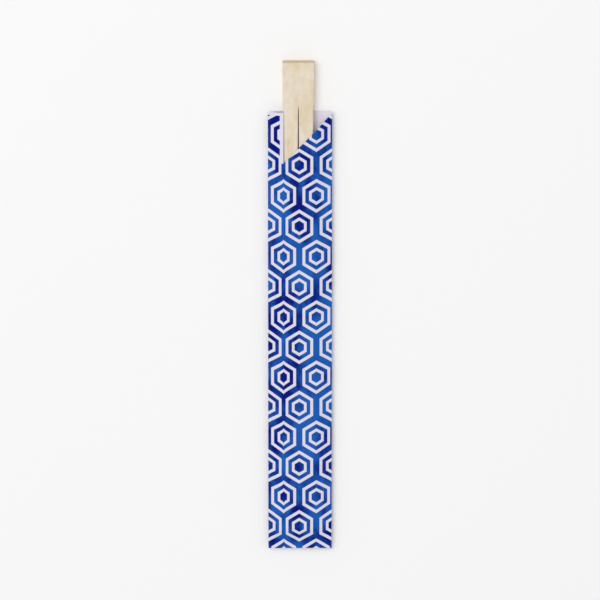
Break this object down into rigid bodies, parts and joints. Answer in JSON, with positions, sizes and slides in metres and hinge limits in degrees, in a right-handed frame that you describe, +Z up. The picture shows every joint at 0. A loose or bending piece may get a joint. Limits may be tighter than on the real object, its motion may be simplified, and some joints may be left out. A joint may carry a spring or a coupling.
{
  "type": "pair of disposable chopsticks",
  "caption": "Flat bamboo pair of disposable chopsticks, joined at a square head and split by a saw kerf, in a half-open paper sleeve with a slanted mouth and a nested hexagon print.",
  "frame": {"origin": "on the surface that the sleeve lies on, under the middle of the whole length and of the sleeve's width", "axes": "+Y along the sticks towards the joined head, +X to the right seen from the front, +Z up out of the front"},
  "size_m": [0.028, 0.22, 0.0052],
  "materials": {
    "bamboo": "pale planed bamboo, unvarnished, with fine straight fibres",
    "printed_paper": "smooth white paper printed with blue and white nested hexagons, plain white inside"
  },
  "bodies": {
    "root": {"chopstick_pair": "bamboo", "paper_sleeve": "printed_paper"}
  },
  "joints": []
}
